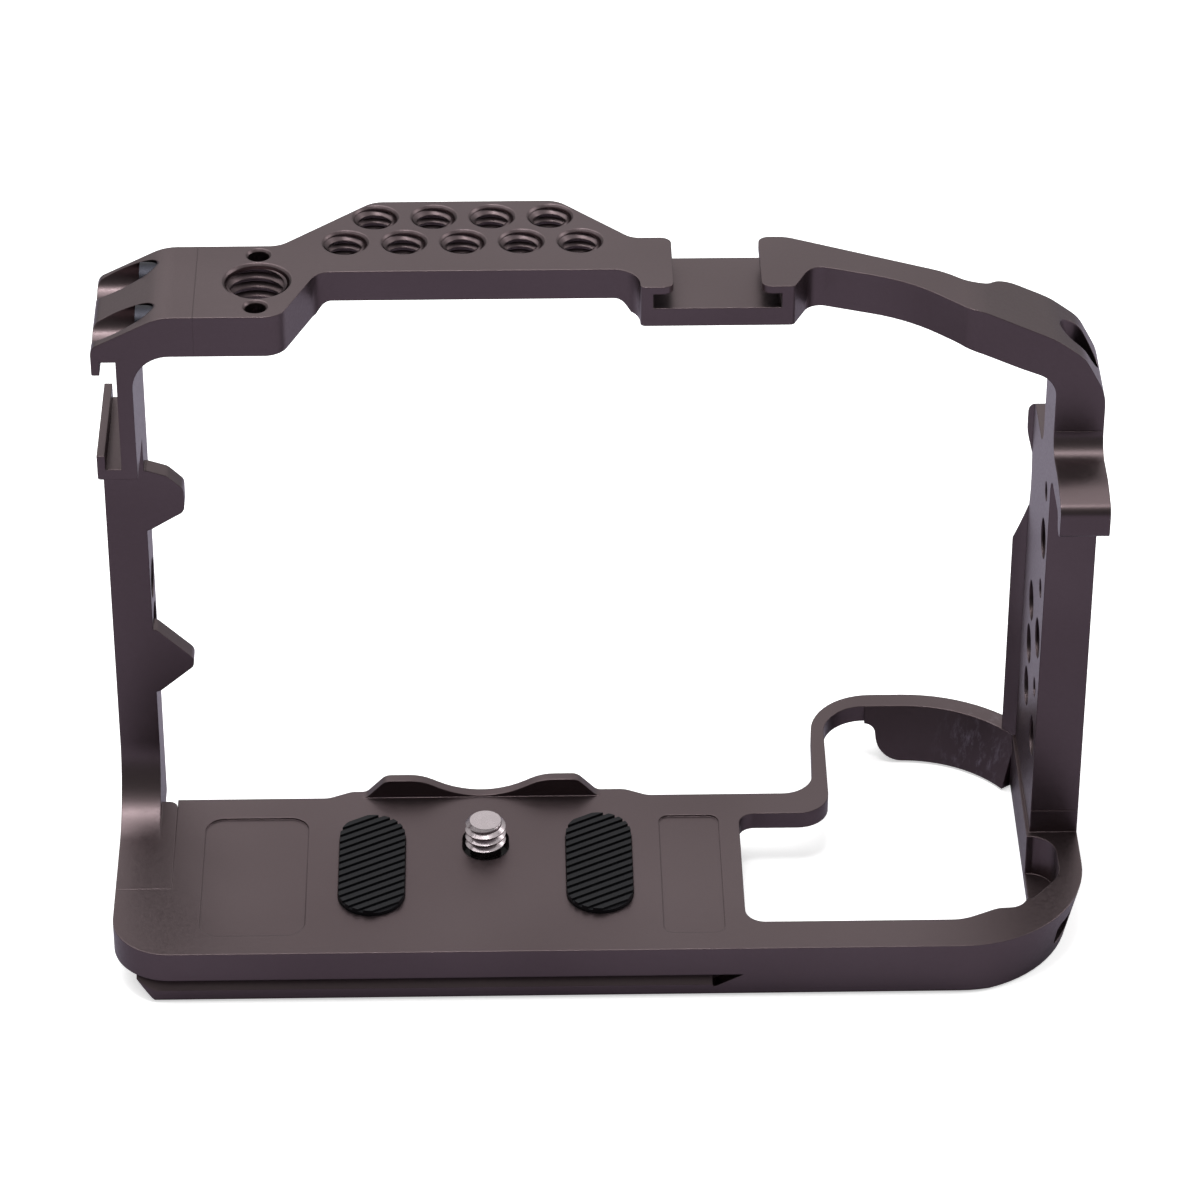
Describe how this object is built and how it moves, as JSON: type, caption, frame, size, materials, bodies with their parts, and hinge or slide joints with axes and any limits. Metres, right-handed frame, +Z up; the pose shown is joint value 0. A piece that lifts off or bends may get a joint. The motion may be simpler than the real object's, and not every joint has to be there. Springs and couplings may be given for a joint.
{
  "type": "camera cage",
  "caption": "Aluminium cage round a mirrorless camera: dovetail base with sliding camera screw and rubber pads, arms, bar of threaded holes and two cold shoes.",
  "frame": {"origin": "middle of the bounding box, at the height of the dovetail's underside", "axes": "+X right as seen from the camera's back, +Y towards the lens, +Z up"},
  "size_m": [0.1486, 0.0652, 0.1041],
  "materials": {
    "anodised_aluminium": "bead-blasted, anodised brown-grey, satin",
    "black_rubber": "moulded, ribbed",
    "adhesive_film": "clear film",
    "black_steel": "black oxide",
    "stainless_steel": "turned",
    "black_nylon": "machined"
  },
  "bodies": {
    "frame": {"base_plate": "anodised_aluminium", "top_plate": "anodised_aluminium", "left_arm": "anodised_aluminium", "right_side_plate": "anodised_aluminium", "rubber_pad_left": "black_rubber", "rubber_pad_right": "black_rubber", "pad_adhesive_left": "adhesive_film", "pad_adhesive_right": "adhesive_film", "top_left_screw_rear": "black_steel", "top_left_screw_front": "black_steel", "foot_screw_rear": "black_steel", "foot_screw_front": "black_steel", "post_screw_rear": "black_steel", "post_screw_front": "black_steel", "corner_screw": "black_steel", "retainer_snap_ring": "stainless_steel", "corner_dowel": "stainless_steel"},
    "retainer": {"screw_retainer": "black_nylon"},
    "washer": {"thrust_washer": "stainless_steel"},
    "screw": {"camera_screw": "stainless_steel"}
  },
  "joints": [
    {"name": "retainer_slide", "type": "slide", "parent": "frame", "child": "retainer", "axis": [0, 1, 0], "range_m": [-0.00095, 0.00095]},
    {"name": "screw_float", "type": "slide", "parent": "retainer", "child": "washer", "axis": [0, 0, 1], "range_m": [-0.0012, 0]},
    {"name": "screw_spin", "type": "hinge", "parent": "washer", "child": "screw", "pos_m": [-0.0176, -0.0055, 0.009], "axis": [0, 0, 1], "continuous": true}
  ]
}
